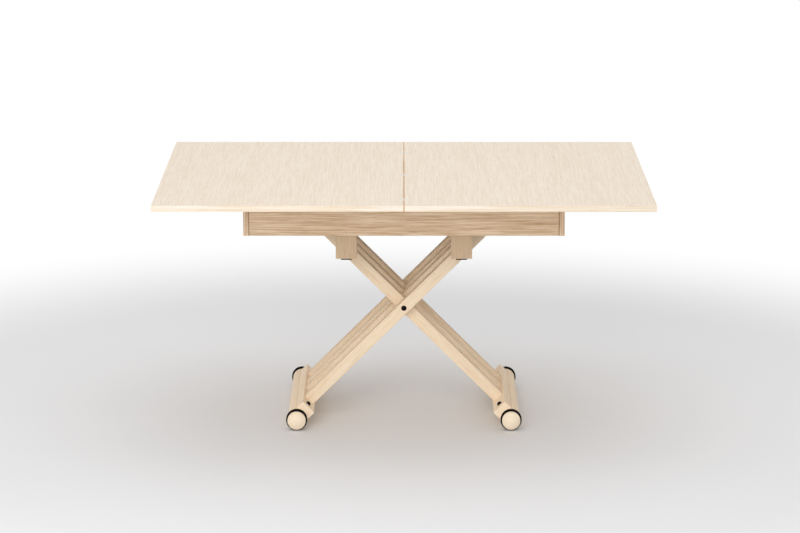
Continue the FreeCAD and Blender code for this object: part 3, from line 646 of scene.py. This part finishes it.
# Lift spring
def dress_spring():
    """Gas spring: enamelled cylinder with a rolled groove at its gland, and a bright rod."""
    low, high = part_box("spring_cylinder")
    radius = (high.z - low.z) / 2
    line = (0, (low.y + high.y) / 2, (low.z + high.z) / 2)
    near = high.x - SPRING_GLAND
    nose = 2 * EDGE_ROUND
    profile = np.concatenate([
        [(0, low.x)], arc((radius - EDGE_ROUND, low.x + EDGE_ROUND), EDGE_ROUND, -90, 0, EDGE_STEPS),
        [(radius, near - 2 * SPRING_GROOVE)], arc((radius, near), SPRING_GROOVE, -90, -270, GROOVE_STEPS),
        [(radius, near + 2 * SPRING_GROOVE)], arc((radius - nose, high.x - nose), nose, 0, 90, GLAND_STEPS),
        [(0, high.x)]])
    tube = turned(profile, line, (1, 0, 0))
    piece("spring_tube_rolled", [tube], spring_enamel, "carriage_b", "spring_enamel", "spring_cylinder")
    rod_low, rod_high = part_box("spring_rod")
    outline = rod_profile(SPRING_ROD_R, rod_low.x, rod_high.x, STEEL_EASE)
    rod = turned(outline, line, (1, 0, 0), steps=ROD_STEPS)
    piece("spring_rod_bright", [rod], bright_steel, "frame", "bright_steel", "spring_rod")


dress_spring()


# Rest pads and felt glides
def dress_pads(name, node, material, slot, half, ease, rim):
    """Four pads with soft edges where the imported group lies: one section, scaled to the rim all round."""
    low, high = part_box(node)
    section = rod_profile(half, low.z, high.z, ease)
    radii = section[:, :1] / half * rim
    rows = np.stack([radii, np.repeat(section[:, 1:], len(rim), 1)], -1)
    pads = []
    for x in (low.x + half, high.x - half):
        for y in (low.y + half, high.y - half):
            pads.append(turned(rows, (x, y, 0), (0, 0, 1)))
    piece(name, pads, material, "frame", slot, node)


dress_pads("rest_pads_moulded", "rest_pads", black_rubber, "black_rubber",
           PAD_HALF, PAD_EASE, square_radius(PAD_HALF))
dress_pads("glide_discs_felt", "glide_pads", glide_felt, "felt",
           GLIDE_R, GLIDE_EASE, np.full(RING_STEPS, GLIDE_R))


# Camera, light and stage
def make_camera():
    """Camera at the photograph's viewing angle."""
    data = bpy.data.cameras.new("camera")
    data.sensor_width = SENSOR_WIDTH
    data.lens = CAMERA_LENS
    data.clip_end = CAMERA_REACH
    camera = bpy.data.objects.new("camera", data)
    camera.location = CAMERA_PLACE
    camera.rotation_euler = (math.pi / 2 - CAMERA_PITCH, 0, -CAMERA_YAW)
    bpy.context.scene.collection.objects.link(camera)
    bpy.context.scene.camera = camera


def make_lamp(name, place, size, power):
    """Soft square lamp that looks at the table."""
    data = bpy.data.lights.new(name, "AREA")
    data.shape = "SQUARE"
    data.size = size
    data.energy = power
    lamp = bpy.data.objects.new(name, data)
    lamp.location = place
    lamp.rotation_euler = (Vector(LAMP_AIM) - Vector(place)).to_track_quat("-Z", "Y").to_euler()
    lamp.visible_camera = False
    bpy.context.scene.collection.objects.link(lamp)


def background_rays(wires):
    """1 for the rays that show the backdrop: camera, glossy and transmission."""
    path = wires.add("ShaderNodeLightPath", {}).outputs
    shown = wires.calc("MAXIMUM", path["Is Camera Ray"], path["Is Glossy Ray"])
    return wires.calc("MAXIMUM", shown, path["Is Transmission Ray"])


def make_world():
    """White backdrop, and even light of a plain level for everything else."""
    world = bpy.data.worlds.new("studio")
    bpy.context.scene.world = world
    world.use_nodes = True
    wires = Wiring(world.node_tree)
    lit = world.node_tree.nodes["Background"]
    lit.inputs["Color"].default_value = WHITE
    lit.inputs["Strength"].default_value = WORLD_LIGHT
    white = wires.add("ShaderNodeBackground", {"Color": WHITE, "Strength": 1.0})
    shares = {0: background_rays(wires), 1: lit.outputs[0], 2: white.outputs[0]}
    mix = wires.add("ShaderNodeMixShader", shares)
    wires.put(world.node_tree.nodes["World Output"].inputs["Surface"], mix.outputs[0])


def floor_material():
    """Pale floor that fades into the white backdrop far from the table, and is clear from below."""
    material, wires, shader, coordinates = new_material("pale_floor")
    shader.inputs["Base Color"].default_value = FLOOR_COLOUR
    shader.inputs["Roughness"].default_value = FLOOR_ROUGHNESS
    distance = wires.vector_calc("LENGTH", {0: coordinates}, "Value")
    fade = wires.spread(distance, FLOOR_SHOWN, FLOOR_FADED)
    white = wires.add("ShaderNodeEmission", {"Color": WHITE, "Strength": 1.0})
    shown = wires.calc("MULTIPLY", fade, background_rays(wires))
    faded = wires.add("ShaderNodeMixShader", {0: shown, 1: shader.outputs[0], 2: white.outputs[0]})
    below = wires.add("ShaderNodeNewGeometry", {}).outputs["Backfacing"]
    clear = wires.add("ShaderNodeBsdfTransparent", {})
    mix = wires.add("ShaderNodeMixShader", {0: below, 1: faded.outputs[0], 2: clear.outputs[0]})
    wires.put(material.node_tree.nodes["Material Output"].inputs["Surface"], mix.outputs[0])
    return material


def make_floor():
    """Large square floor at height 0."""
    mesh = bpy.data.meshes.new("floor")
    reach = FLOOR_REACH
    corners = [(-reach, -reach, 0), (reach, -reach, 0), (reach, reach, 0), (-reach, reach, 0)]
    mesh.from_pydata(corners, [], [(0, 1, 2, 3)])
    mesh.materials.append(floor_material())
    floor = bpy.data.objects.new("floor", mesh)
    bpy.context.scene.collection.objects.link(floor)


make_camera()
make_lamp("overhead", OVERHEAD_PLACE, OVERHEAD_SIZE, OVERHEAD_POWER)
make_lamp("front", FRONT_PLACE, FRONT_SIZE, FRONT_POWER)
make_world()
make_floor()
bpy.context.scene.view_settings.view_transform = "Standard"
